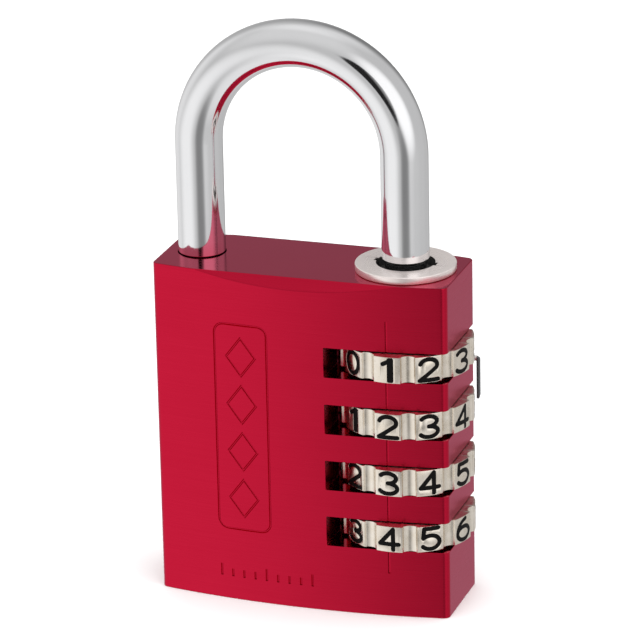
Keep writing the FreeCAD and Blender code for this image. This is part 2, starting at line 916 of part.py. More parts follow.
def make_reset_slider():
    """Key in its slot, an arm behind the back face, and a thin upright tab to push down."""
    body = new_body("reset_slider")
    key = sketch_on(body, "YZ_Plane", "key")
    key_top = "Dims.KeyBottom + Dims.KeyHeight"
    rectangle(key, "Dims.KeyInnerY", "Dims.KeyBottom", "Dims.TabOuterY", key_top)
    pad_across(body, "key_pad", key, "Dims.KeyInnerX", "Dims.KeyOuterX")

    arm = sketch_on(body, "YZ_Plane", "arm")
    arm_bottom = "Dims.TabTop - Dims.ArmHeight"
    rectangle(arm, "Dims.TabInnerY", arm_bottom, "Dims.TabOuterY", "Dims.TabTop")
    pad_across(body, "arm_pad", arm, "Dims.KeyInnerX", "Dims.TabInnerX")

    tab = sketch_on(body, "YZ_Plane", "tab")
    polygon(
        tab,
        [
            ("Dims.TabInnerY", "Dims.TabBottom"),
            ("Dims.TabOuterY - Dims.TabSlopeIn", "Dims.TabBottom"),
            ("Dims.TabOuterY", "Dims.TabBottom + Dims.TabSlopeUp"),
            ("Dims.TabOuterY", "Dims.TabTop - Dims.TabSlopeUp"),
            ("Dims.TabOuterY - Dims.TabSlopeIn", "Dims.TabTop"),
            ("Dims.TabInnerY", "Dims.TabTop"),
        ],
    )
    pad_across(body, "tab_pad", tab, "Dims.TabInnerX", "Dims.TabOuterX")

    hole = sketch_on(body, "XY_Plane", "guide", "Dims.KeyBottom + Dims.KeyHeight / 2")
    circle(hole, "Dims.GuidePinX", "Dims.GuidePinY", "Dims.GuidePinRadius + Dims.PinClear")
    cut_both_ways(body, "guide_cut", hole, "2 * Dims.KeyHeight")

    pin = cylinder(
        "guide_pin_solid",
        "Dims.GuidePinRadius",
        "%s + Dims.SlotHalfHeight" % wheel_height(2),
        "Dims.WheelPitch - 2 * Dims.SlotHalfHeight",
        "Dims.GuidePinX",
        "Dims.GuidePinY",
    )
    node(pin, "reset_guide_pin")


make_reset_slider()


# ---------------------------------------------------------------- check and write

doc.recompute()
for thing in doc.Objects:
    if "Invalid" in thing.State or "Error" in thing.State:
        raise RuntimeError("%s failed: %s" % (thing.Label, thing.State))
for thing in NODES:
    shape = thing.Shape
    if shape.isNull() or not shape.isValid() or len(shape.Solids) != 1:
        raise RuntimeError("%s is not one valid solid" % thing.Label)
for thing in NODES:
    thing.Shape.exportStep("parts/%s.step" % thing.Label)
    print("%-20s %9.2f mm3" % (thing.Label, thing.Shape.Volume))
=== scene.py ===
"""Looks of the four-wheel combination padlock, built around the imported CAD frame."""
import math

import bmesh
import bpy
from mathutils import Matrix, Vector
from mathutils.bvhtree import BVHTree


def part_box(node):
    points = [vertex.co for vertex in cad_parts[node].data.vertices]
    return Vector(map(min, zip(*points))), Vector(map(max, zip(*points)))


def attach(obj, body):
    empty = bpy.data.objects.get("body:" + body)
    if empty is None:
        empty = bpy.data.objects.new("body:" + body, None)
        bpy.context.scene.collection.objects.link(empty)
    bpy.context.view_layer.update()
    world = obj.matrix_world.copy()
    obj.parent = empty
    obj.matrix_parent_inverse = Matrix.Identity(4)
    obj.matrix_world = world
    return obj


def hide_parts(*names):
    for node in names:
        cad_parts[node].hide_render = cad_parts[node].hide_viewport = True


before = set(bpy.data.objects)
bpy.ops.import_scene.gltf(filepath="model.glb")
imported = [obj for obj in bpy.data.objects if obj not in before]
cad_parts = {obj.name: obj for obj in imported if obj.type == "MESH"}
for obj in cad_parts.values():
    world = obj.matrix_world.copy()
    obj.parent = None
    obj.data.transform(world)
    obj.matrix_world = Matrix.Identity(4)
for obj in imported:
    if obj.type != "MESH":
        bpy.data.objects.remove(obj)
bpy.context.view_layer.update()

# Pieces are drawn in millimetres, like the CAD, and scaled to metres when they are done.
MM = 0.001
SCENE = bpy.context.scene
WHEELS = (1, 2, 3, 4)


def box_mm(node):
    """Lowest and highest corner of a CAD node, in millimetres."""
    low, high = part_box(node)
    return low / MM, high / MM


# A wheel's window is centred this far above the shackle's gate pin.
PIN_OFFSET = 1.25

BUSH_LOW, BUSH_HIGH = box_mm("flange_bush")
SLIDER_LOW, SLIDER_HIGH = box_mm("reset_slider")
BAR_BOTTOM = box_mm("shackle")[0].z

HALF_WIDTH, HALF_DEPTH, TOP = box_mm("lock_body")[1]
AXIS_X = (BUSH_LOW.x + BUSH_HIGH.x) / 2


def wheel_height(number):
    """Middle of a wheel's window."""
    low, high = box_mm("gate_pin_%d" % number)
    return (low.z + high.z) / 2 + PIN_OFFSET


WHEEL_BOX_LOW, WHEEL_BOX_HIGH = box_mm("number_wheel_1")
WHEEL_BOTTOM = WHEEL_BOX_LOW.z - wheel_height(1)
WHEEL_TOP = WHEEL_BOX_HIGH.z - wheel_height(1)


# ---------------------------------------------------------------- camera

CAMERA_YAW = math.radians(18.74)
CAMERA_PITCH = math.radians(19.789)
CAMERA_ROLL = math.radians(-1.175)
CAMERA_DISTANCE = 554.711
CAMERA_SIDE = 0.564
CAMERA_RISE = 11.802
CAMERA_TARGET = Vector((0, 0, 25))
CAMERA_LENS = 236.73
CAMERA_NEAR = 0.01
CAMERA_FAR = 20


def make_camera():
    back = Vector((
        math.sin(CAMERA_YAW) * math.cos(CAMERA_PITCH),
        -math.cos(CAMERA_YAW) * math.cos(CAMERA_PITCH),
        math.sin(CAMERA_PITCH),
    ))
    level = Vector((math.cos(CAMERA_YAW), math.sin(CAMERA_YAW), 0))
    upright = back.cross(level)
    right = math.cos(CAMERA_ROLL) * level + math.sin(CAMERA_ROLL) * upright
    up = math.cos(CAMERA_ROLL) * upright - math.sin(CAMERA_ROLL) * level
    place = CAMERA_TARGET + back * CAMERA_DISTANCE + right * CAMERA_SIDE + up * CAMERA_RISE
    data = bpy.data.cameras.new("camera")
    data.lens = CAMERA_LENS
    data.clip_start = CAMERA_NEAR
    data.clip_end = CAMERA_FAR
    camera = bpy.data.objects.new("camera", data)
    turn = Matrix((right, up, back)).transposed().to_4x4()
    camera.matrix_world = Matrix.Translation(place * MM) @ turn
    SCENE.collection.objects.link(camera)
    SCENE.camera = camera


make_camera()


# ---------------------------------------------------------------- mesh helpers

def mesh_object(name, points, faces):
    """A mesh in millimetres with its faces turned outwards."""
    mesh = bpy.data.meshes.new(name)
    mesh.from_pydata([tuple(p) for p in points], [], faces)
    shape = bmesh.new()
    shape.from_mesh(mesh)
    bmesh.ops.recalc_face_normals(shape, faces=shape.faces)
    shape.to_mesh(mesh)
    shape.free()
    piece = bpy.data.objects.new(name, mesh)
    SCENE.collection.objects.link(piece)
    return piece


def loft(name, rings, closed=False):
    """A skin through rings of equally many points: closed into a loop, or capped at both ends."""
    size = len(rings[0])
    points = [p for ring in rings for p in ring]
    faces = []
    for i in range(len(rings) if closed else len(rings) - 1):
        here = i * size
        there = (i + 1) % len(rings) * size
        for j in range(size):
            k = (j + 1) % size
            faces.append((here + j, here + k, there + k, there + j))
    if not closed:
        faces.append(tuple(range(size)))
        faces.append(tuple(range(len(points) - size, len(points))))
    return mesh_object(name, points, faces)


def prism(name, outline, low, high):
    """An outline in plan raised between two heights."""
    return loft(name, [[(x, y, z) for x, y in outline] for z in (low, high)])


def prism_along_y(name, outline, low, high):
    """An outline (x, z) drawn out along Y."""
    return loft(name, [[(x, y, z) for x, z in outline] for y in (low, high)])


def prism_along_x(name, outline, low, high):
    """An outline (y, z) drawn out along X."""
    return loft(name, [[(x, y, z) for y, z in outline] for x in (low, high)])


def rectangle(left, bottom, right, top):
    return [(left, bottom), (right, bottom), (right, top), (left, top)]


def arc(across, up, radius, start, end, steps, up_radius=None):
    """Points of an arc from one angle to another, in degrees."""
    rise = radius if up_radius is None else up_radius
    found = []
    for i in range(steps + 1):
        angle = math.radians(start + (end - start) * i / steps)
        found.append((across + radius * math.cos(angle), up + rise * math.sin(angle)))
    return found


def circle(across, up, radius, steps=96):
    return arc(across, up, radius, 0, 360, steps)[:-1]


def apply_modifiers(piece):
    graph = bpy.context.evaluated_depsgraph_get()
    mesh = bpy.data.meshes.new_from_object(piece.evaluated_get(graph))
    piece.modifiers.clear()
    piece.data = mesh


def combine(piece, other, operation, overlapping=False):
    """An exact boolean of two meshes. The other mesh is used up."""
    step = piece.modifiers.new("combine", "BOOLEAN")
    step.solver = "EXACT"
    step.operation = operation
    step.object = other
    step.use_self = overlapping
    apply_modifiers(piece)
    bpy.data.objects.remove(other)


# Points of a bevel that lie further off the old surface than this share of its width are strays.
BEVEL_REACH = 0.35


def round_edges(piece, width, angle, segments=2):
    """Round every edge that turns by more than an angle in degrees, and pull stray points back."""
    shape = bmesh.new()
    shape.from_mesh(piece.data)
    before = BVHTree.FromBMesh(shape)
    shape.free()
    step = piece.modifiers.new("round", "BEVEL")
    step.limit_method = "ANGLE"
    step.angle_limit = math.radians(angle)
    step.width = width
    step.segments = segments
    step.use_clamp_overlap = False
    apply_modifiers(piece)
    for vertex in piece.data.vertices:
        nearest, _, _, distance = before.find_nearest(vertex.co)
        if distance > BEVEL_REACH * width:
            vertex.co = nearest


def join(pieces):
    """One mesh of several, without merging them."""
    shape = bmesh.new()
    for piece in pieces:
        shape.from_mesh(piece.data)
    joined = pieces[0]
    shape.to_mesh(joined.data)
    shape.free()
    for piece in pieces[1:]:
        bpy.data.objects.remove(piece)
    return joined


SMOOTH_ANGLE = math.radians(35)
NORMAL_WEIGHT = 90


def finish_piece(piece, body, material, nodes=()):
    """Scale to metres, shade, paint and hand the piece to its body."""
    piece.data.transform(Matrix.Scale(MM, 4))
    piece.data.shade_smooth()
    piece.data.set_sharp_from_angle(angle=SMOOTH_ANGLE)
    weigh = piece.modifiers.new("weigh", "WEIGHTED_NORMAL")
    weigh.weight = NORMAL_WEIGHT
    weigh.keep_sharp = True
    apply_modifiers(piece)
    piece.data.materials.clear()
    piece.data.materials.append(material)
    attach(piece, body)
    if nodes:
        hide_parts(*nodes)


# ---------------------------------------------------------------- materials

# Noise keeps mostly between these two values.
NOISE_LOW = 0.3
NOISE_HIGH = 0.7

# Where a mix node keeps the sockets that hold colours.
MIX_COLORS = slice(6, 8)
MIX_RESULT = 2


class Paint:
    """A Principled material whose noise is laid out in millimetres of the row frame."""

    def __init__(self, name, color, metallic, roughness):
        self.material = bpy.data.materials.new(name)
        self.material.use_nodes = True
        self.tree = self.material.node_tree
        self.shader = self.tree.nodes["Principled BSDF"]
        self.set("Base Color", (*color, 1))
        self.set("Metallic", metallic)
        self.set("Roughness", roughness)
        self.place = self.tree.nodes.new("ShaderNodeTexCoord").outputs["Object"]

    def set(self, socket, value):
        self.shader.inputs[socket].default_value = value

    def link(self, output, entry):
        self.tree.links.new(output, entry)

    def noise(self, stretch, detail=3.0, rough=0.6):
        """Noise whose grains are as large as stretch says, in millimetres along X, Y and Z."""
        mapping = self.tree.nodes.new("ShaderNodeMapping")
        mapping.inputs["Scale"].default_value = [1 / (s * MM) for s in stretch]
        self.link(self.place, mapping.inputs["Vector"])
        noise = self.tree.nodes.new("ShaderNodeTexNoise")
        noise.inputs["Scale"].default_value = 1.0
        noise.inputs["Detail"].default_value = detail
        noise.inputs["Roughness"].default_value = rough
        self.link(mapping.outputs["Vector"], noise.inputs["Vector"])
        return noise.outputs["Fac"]

    def spread(self, value, low, high, out_low, out_high):
        """Stretch a value between two limits on to another range."""
        ranger = self.tree.nodes.new("ShaderNodeMapRange")
        for number, size in enumerate((low, high, out_low, out_high), start=1):
            ranger.inputs[number].default_value = size
        self.link(value, ranger.inputs[0])
        return ranger.outputs[0]

    def grade(self, noise, low, high):
        """Stretch noise on to a range."""
        return self.spread(noise, NOISE_LOW, NOISE_HIGH, low, high)

    def math(self, operation, one, other):
        """A math node over two values or sockets."""
        node = self.tree.nodes.new("ShaderNodeMath")
        node.operation = operation
        for entry, value in zip(node.inputs, (one, other)):
            if isinstance(value, (int, float)):
                entry.default_value = value
            else:
                self.link(value, entry)
        return node.outputs[0]

    def mix(self, share, one, other):
        """A colour between two, by a share."""
        node = self.tree.nodes.new("ShaderNodeMix")
        node.data_type = "RGBA"
        self.link(share, node.inputs["Factor"])
        for entry, value in zip(node.inputs[MIX_COLORS], (one, other)):
            if isinstance(value, tuple):
                entry.default_value = (*value, 1)
            else:
                self.link(value, entry)
        return node.outputs[MIX_RESULT]

    def color(self, output):
        self.link(output, self.shader.inputs["Base Color"])

    def roughness(self, output):
        self.link(output, self.shader.inputs["Roughness"])

    def bump(self, height, depth):
        """Raise the surface by height times depth, in millimetres."""
        bump = self.tree.nodes.new("ShaderNodeBump")
        bump.inputs["Distance"].default_value = depth * MM
        self.link(height, bump.inputs["Height"])
        self.link(bump.outputs["Normal"], self.shader.inputs["Normal"])

    def radial(self, centre_x):
        """Distance from the upright axis at a given X, in metres."""
        split = self.tree.nodes.new("ShaderNodeSeparateXYZ")
        self.link(self.place, split.inputs[0])
        across = self.math("SUBTRACT", split.outputs["X"], centre_x * MM)
        across = self.math("POWER", across, 2)
        along = self.math("POWER", split.outputs["Y"], 2)
        return self.math("SQRT", self.math("ADD", across, along), 0)


def anodised_red():
    """Dyed anodised aluminium with a faint level brushing, glossier on the faces that look up."""
    paint = Paint("anodised_red", (0.56, 0.011, 0.042), 1.0, 0.3)
    brushing = paint.noise((14.0, 14.0, 0.12), detail=4.0)
    fine = paint.noise((5.0, 5.0, 0.05), detail=2.0)
    cloud = paint.noise((9.0, 9.0, 7.0), detail=3.0)
    stripes = paint.grade(brushing, 0.0, 1.0)
    brushed = paint.mix(stripes, (0.555, 0.010, 0.040), (0.575, 0.012, 0.044))
    blotches = paint.grade(cloud, 0.0, 0.2)
    paint.color(paint.mix(blotches, brushed, (0.50, 0.008, 0.032)))
    satin = paint.grade(fine, 0.26, 0.32)
    geometry = paint.tree.nodes.new("ShaderNodeNewGeometry")
    normal = paint.tree.nodes.new("ShaderNodeSeparateXYZ")
    paint.link(geometry.outputs["True Normal"], normal.inputs[0])
    gloss = paint.spread(normal.outputs["Z"], 0.6, 0.95, 0.0, 0.15)
    paint.roughness(paint.math("SUBTRACT", satin, gloss))
    paint.bump(paint.math("ADD", brushing, fine), 0.0005)
    paint.set("Specular Tint", (0.92, 0.86, 1.0, 1))
    return paint.material


def polished_chrome():
    """Chromed bar with faint handling marks."""
    paint = Paint("polished_chrome", (0.80, 0.80, 0.81), 1.0, 0.07)
    haze = paint.noise((4.0, 4.0, 5.0), detail=4.0)
    marks = paint.noise((0.3, 0.3, 6.0), detail=2.0)
    paint.color(paint.mix(haze, (0.77, 0.77, 0.785), (0.83, 0.83, 0.835)))
    paint.roughness(paint.grade(haze, 0.05, 0.11))
    paint.bump(marks, 0.0006)
    return paint.material


TURNING_PITCH = 0.2


def turned_nickel():
    """Nickel plate over fine turning lines round the long leg."""
    paint = Paint("turned_nickel", (0.88, 0.81, 0.78), 0.72, 0.3)
    radius = paint.radial(AXIS_X)
    rings = paint.tree.nodes.new("ShaderNodeTexNoise")
    rings.noise_dimensions = "1D"
    rings.inputs["Scale"].default_value = 1 / (TURNING_PITCH * MM)
    paint.link(radius, rings.inputs["W"])
    cloud = paint.noise((2.5, 2.5, 2.5), detail=4.0)
    paint.color(paint.mix(cloud, (0.86, 0.78, 0.75), (0.92, 0.84, 0.81)))
    paint.roughness(paint.grade(rings.outputs["Fac"], 0.27, 0.35))
    paint.bump(rings.outputs["Fac"], 0.0006)
    return paint.material


def worn_nickel():
    """Die-cast number wheels: warm nickel plate with specks and rubbed patches."""
    paint = Paint("worn_nickel", (0.74, 0.68, 0.60), 1.0, 0.3)
    patch = paint.noise((1.6, 1.6, 1.6), detail=5.0, rough=0.65)
    speck = paint.noise((0.22, 0.22, 0.22), detail=2.0)
    wear = paint.spread(patch, 0.35, 0.65, 0.0, 1.0)
    rubbed = paint.mix(wear, (0.78, 0.70, 0.59), (0.90, 0.83, 0.74))
    dots = paint.spread(speck, 0.66, 0.74, 0.0, 0.55)
    paint.color(paint.mix(dots, rubbed, (0.30, 0.24, 0.19)))
    paint.roughness(paint.grade(patch, 0.22, 0.38))
    paint.bump(paint.math("SUBTRACT", patch, dots), 0.006)
    return paint.material


def painted_shade_steel():
    """Near-black steel that paints the shade inside the bush's mouth, where little light gets in.
    """
    paint = Paint("painted_shade_steel", (0.03, 0.03, 0.03), 0.2, 0.6)
    grain = paint.noise((0.3, 0.3, 0.3), detail=3.0)
    paint.color(paint.mix(grain, (0.015, 0.014, 0.014), (0.05, 0.048, 0.046)))
    paint.roughness(paint.grade(grain, 0.5, 0.7))
    paint.bump(grain, 0.005)
    return paint.material


def number_black():
    """Black enamel laid in the cut numbers."""
    paint = Paint("number_black", (0.004, 0.004, 0.004), 0.0, 0.4)
    grain = paint.noise((0.15, 0.15, 0.15), detail=3.0)
    paint.color(paint.mix(grain, (0.002, 0.002, 0.002), (0.006, 0.005, 0.005)))
    paint.roughness(paint.grade(grain, 0.32, 0.5))
    paint.set("Specular IOR Level", 0.08)
    paint.bump(grain, 0.01)
    return paint.material


def dark_slider():
    """Dark burnished slider."""
    paint = Paint("dark_slider", (0.06, 0.06, 0.065), 0.4, 0.45)
    grain = paint.noise((0.25, 0.25, 0.25), detail=4.0)
    paint.color(paint.mix(grain, (0.045, 0.045, 0.05), (0.085, 0.085, 0.092)))
    paint.roughness(paint.grade(grain, 0.36, 0.55))
    paint.bump(grain, 0.008)
    return paint.material


def sleeve_brass():
    """Turned brass."""
    paint = Paint("turned_brass", (0.78, 0.56, 0.27), 1.0, 0.3)
    lathe = paint.noise((6.0, 6.0, 0.10), detail=2.0)
    stain = paint.noise((2.0, 2.0, 2.0), detail=4.0)
    paint.color(paint.mix(stain, (0.62, 0.42, 0.18), (0.84, 0.62, 0.32)))
    paint.roughness(paint.grade(lathe, 0.22, 0.42))
    paint.bump(lathe, 0.004)
    return paint.material


def spring_steel():
    """Oiled spring steel."""
    paint = Paint("oiled_steel", (0.36, 0.36, 0.38), 1.0, 0.35)
    scale = paint.noise((0.8, 0.8, 0.8), detail=5.0)
    paint.color(paint.mix(scale, (0.26, 0.26, 0.28), (0.46, 0.46, 0.47)))
    paint.roughness(paint.grade(scale, 0.25, 0.45))
    paint.bump(scale, 0.004)
    return paint.material


RED = anodised_red()
CHROME = polished_chrome()
NICKEL = turned_nickel()
# Painted shade for the hollow of the bush's mouth, not a finish of the part.
PAINTED_SHADE = painted_shade_steel()
WHEEL_METAL = worn_nickel()
BLACK = number_black()
SLIDER = dark_slider()
BRASS = sleeve_brass()
STEEL = spring_steel()


# ---------------------------------------------------------------- lock body

FACE_RADIUS = 115.0
CORNER_RADIUS = 0.9
BEVEL_HALF_DEPTH = 7.2
BEVEL_ANGLE = math.radians(30)
SLOT_HALF_HEIGHT = 2.04
SLOT_LEFT = 3.85
SLOT_RELIEF = 9.15
BORE_RADIUS = 5.5
TOE_X = AXIS_X - 27.96
TOE_HOLE_RADIUS = 3.2
TOE_HOLE_DEPTH = 5.6
INDEX_X = 12.23
INDEX_WIDTH = 0.3
INDEX_DEPTH = 0.18
KEY_LEFT = SLIDER_LOW.x
KEY_RIGHT = 18.9
KEY_BOTTOM = 30.8
KEY_TOP = SLIDER_HIGH.z
KEY_CLEAR = 0.1
RESET_TRAVEL = 1.2
DETENT_HOLE_RISE = 5.2
CLEAR = 4.0
WEDGE_REACH = 2.0
FACE_STEPS = 36
CORNER_STEPS = 10
# A point this near the arc of a broad face counts as lying on it.
ON_FACE = 0.004


def lens_quarter():
    """Half of the front outline: the shallow arc from the middle, then the right corner."""
    centre = FACE_RADIUS - HALF_DEPTH
    corner_x = HALF_WIDTH - CORNER_RADIUS
    reach = FACE_RADIUS - CORNER_RADIUS
    corner_y = centre - math.sqrt(reach ** 2 - corner_x ** 2)
    tilt = math.degrees(math.asin(corner_x / reach))
    face = arc(0, centre, FACE_RADIUS, -90, tilt - 90, FACE_STEPS)
    corner = arc(corner_x, corner_y, CORNER_RADIUS, tilt - 90, 0, CORNER_STEPS)
    return face + corner[1:]


def lens_outline():
    """Plan of the body: two shallow arcs with rounded corners."""
    quarter = lens_quarter()
    right = quarter + [(x, -y) for x, y in reversed(quarter)]
    left = [(-x, y) for x, y in reversed(right)]
    return right + left[1:-1]


def face_depth(across):
    """How far the front face stands from the middle plane at a given X."""
    return HALF_DEPTH - FACE_RADIUS + math.sqrt(FACE_RADIUS ** 2 - across ** 2)


def window_outline():
    """Plan of a wheel window: straight sided, let out round the wheel."""
    reach = AXIS_X - SLOT_LEFT
    swing = math.degrees(math.acos(reach / SLOT_RELIEF))
    bulge = arc(AXIS_X, 0, SLOT_RELIEF, 180 - swing, 180 + swing, steps=14)
    far = HALF_DEPTH + CLEAR
    right = HALF_WIDTH + CLEAR
    return [(right, far), (SLOT_LEFT, far)] + bulge + [(SLOT_LEFT, -far), (right, -far)]


def lay_face_normals(body):
    """Give the two broad faces the true normals of their arcs, whatever was cut into them."""
    mesh = body.data
    normals = [Vector(corner.vector) for corner in mesh.corner_normals]

    def on_face(point):
        within = abs(point.x) < HALF_WIDTH - CORNER_RADIUS
        return within and abs(abs(point.y) - face_depth(point.x)) < ON_FACE

    for polygon in mesh.polygons:
        if all(on_face(mesh.vertices[v].co / MM) for v in polygon.vertices):
            for loop in polygon.loop_indices:
                point = mesh.vertices[mesh.loops[loop].vertex_index].co / MM
                tilt = point.x / FACE_RADIUS
                ahead = math.copysign(math.sqrt(1 - tilt ** 2), point.y)
                normals[loop] = Vector((tilt, ahead, 0))
    mesh.normals_split_custom_set(normals)


def make_body():
    body = prism("body_shell", lens_outline(), 0, TOP)
    drop = WEDGE_REACH / math.tan(BEVEL_ANGLE)
    for side in (1, -1):
        inner = side * (BEVEL_HALF_DEPTH - WEDGE_REACH)
        outer = side * (BEVEL_HALF_DEPTH + WEDGE_REACH)
        wedge = [(inner, TOP + drop), (outer, TOP + drop), (outer, TOP - drop)]
        long = HALF_WIDTH + CLEAR
        combine(body, prism_along_x("wedge", wedge, -long, long), "DIFFERENCE")
    round_edges(body, width=0.13, angle=20)
    for number in WHEELS:
        middle = wheel_height(number)
        window = prism(
            "window", window_outline(), middle - SLOT_HALF_HEIGHT, middle + SLOT_HALF_HEIGHT
        )
        combine(body, window, "DIFFERENCE")
    over = TOP + CLEAR
    combine(body, prism("bore", circle(AXIS_X, 0, BORE_RADIUS), -CLEAR, over), "DIFFERENCE")
    toe = circle(TOE_X, 0, TOE_HOLE_RADIUS, steps=64)
    combine(body, prism("toe", toe, TOP - TOE_HOLE_DEPTH, over), "DIFFERENCE")
    plug_low, plug_high = box_mm("detent_plug")
    hole_x = (plug_low.x + plug_high.x) / 2
    hole_radius = (plug_high.x - plug_low.x) / 2
    hole = circle(hole_x, 0, hole_radius, steps=48)
    hole_top = wheel_height(1) + DETENT_HOLE_RISE
    combine(body, prism("hole", hole, -CLEAR, hole_top), "DIFFERENCE")
    pin_low, pin_high = box_mm("plug_pin")
    pin_height = (pin_low.z + pin_high.z) / 2
    pin_radius = (pin_high.z - pin_low.z) / 2
    cross = circle(AXIS_X, pin_height, pin_radius, steps=40)
    behind = HALF_DEPTH + CLEAR
    combine(body, prism_along_y("cross", cross, pin_low.y, behind), "DIFFERENCE")
    keyway = rectangle(
        KEY_LEFT - KEY_CLEAR,
        KEY_BOTTOM - RESET_TRAVEL - KEY_CLEAR,
        KEY_RIGHT + KEY_CLEAR,
        KEY_TOP + KEY_CLEAR,
    )
    slot = prism_along_y("keyway", keyway, SLIDER_LOW.y - KEY_CLEAR, behind)
    combine(body, slot, "DIFFERENCE")
    round_edges(body, width=0.04, angle=60, segments=1)
    cut_marks(body)
    finish_piece(body, "lock_case", RED, ["lock_body"])
    lay_face_normals(body)


# ---------------------------------------------------------------- engraved marks

MARK_DEPTH = 0.16
MARK_WIDTH = 0.32
# Half of a groove's floor, as a share of half its width.
MARK_FLOOR = 0.3
SHARPEST_MITRE = 0.5
SAME_POINT = 1e-9
PANEL_LEFT = -11.2
PANEL_RIGHT = -3.9
PANEL_BOTTOM = 10.1
PANEL_TOP = 38.8
PANEL_CORNER = 1.3
LOZENGE_COUNT = 4
LOZENGE_MARGIN = 0.35
LOZENGE_HALF_WIDTH = 2.0
LOZENGE_HALF_HEIGHT = 2.6
TICK_COUNT = 9
LONG_TICK_EVERY = 4
TICK_PITCH = 1.6
TICK_INSET = 0.2
TICK_BOTTOM = 3.2
TICK_TOP = 4.3
LONG_TICK_TOP = 4.9
INDEX_BOTTOM = 6.0
INDEX_TOP = 41.0


def groove(line, closed=True):
    """A shallow groove with sloping walls along a line (x, z) on the front face, as a cutter."""
    low = MARK_FLOOR
    high = 2 - MARK_FLOOR
    section = ((-low, -MARK_DEPTH), (low, -MARK_DEPTH), (high, MARK_DEPTH), (-high, MARK_DEPTH))
    count = len(line)
    rings = []
    for i, (x, z) in enumerate(line):
        if closed:
            before, after = line[i - 1], line[(i + 1) % count]
        else:
            before, after = line[max(i - 1, 0)], line[min(i + 1, count - 1)]
        into = Vector((x - before[0], z - before[1]))
        out = Vector((after[0] - x, after[1] - z))
        if into.length < SAME_POINT:
            into = out
        if out.length < SAME_POINT:
            out = into
        mitre = (into.normalized() + out.normalized()).normalized()
        half = MARK_WIDTH / 2 / max(SHARPEST_MITRE, mitre.dot(out.normalized()))
        side = Vector((mitre.y, -mitre.x)) * half
        ring = []
        for reach, level in section:
            px = x + reach * side.x
            ring.append((px, -face_depth(px) - level, z + reach * side.y))
        rings.append(ring)
    return loft("groove", rings, closed)


def panel_outline():
    """Centre line of the frame, as (x, z)."""
    r = PANEL_CORNER
    left = PANEL_LEFT + r
    right = PANEL_RIGHT - r
    bottom = PANEL_BOTTOM + r
    top = PANEL_TOP - r
    corners = ((right, bottom, -90), (right, top, 0), (left, top, 90), (left, bottom, 180))
    line = []
    for x, z, start in corners:
        line += arc(x, z, r, start, start + 90, steps=6)
    return line


def cut_marks(body):
    """A plain engraved frame with a column of lozenges, a row of ticks, and the index line."""
    combine(body, groove(panel_outline()), "DIFFERENCE")
    middle = (PANEL_LEFT + PANEL_RIGHT) / 2
    pitch = (PANEL_TOP - PANEL_BOTTOM) / (LOZENGE_COUNT + LOZENGE_MARGIN)
    for i in range(LOZENGE_COUNT):
        height = (PANEL_BOTTOM + PANEL_TOP) / 2 + (i - (LOZENGE_COUNT - 1) / 2) * pitch
        lozenge = [
            (middle + LOZENGE_HALF_WIDTH, height),
            (middle, height + LOZENGE_HALF_HEIGHT),
            (middle - LOZENGE_HALF_WIDTH, height),
            (middle, height - LOZENGE_HALF_HEIGHT),
        ]
        combine(body, groove(lozenge), "DIFFERENCE")
    for i in range(TICK_COUNT):
        tick = PANEL_LEFT + TICK_INSET + i * TICK_PITCH
        high = LONG_TICK_TOP if i % LONG_TICK_EVERY == 0 else TICK_TOP
        combine(body, groove([(tick, TICK_BOTTOM), (tick, high)], closed=False), "DIFFERENCE")
    depth = face_depth(INDEX_X)
    left = INDEX_X - INDEX_WIDTH / 2
    plan = rectangle(left, -depth - CLEAR, left + INDEX_WIDTH, INDEX_DEPTH - depth)
    combine(body, prism("index", plan, INDEX_BOTTOM, INDEX_TOP), "DIFFERENCE")


make_body()


# ---------------------------------------------------------------- shackle

BAR_RADIUS = 3.12
BOW_HEIGHT = 61.1
NECK_RADIUS = 2.72
STEM_RADIUS = 2.4
TOE_RADIUS = 2.8
BAR_STEPS = 72
BOW_STEPS = 60
LEG_STEPS = 8


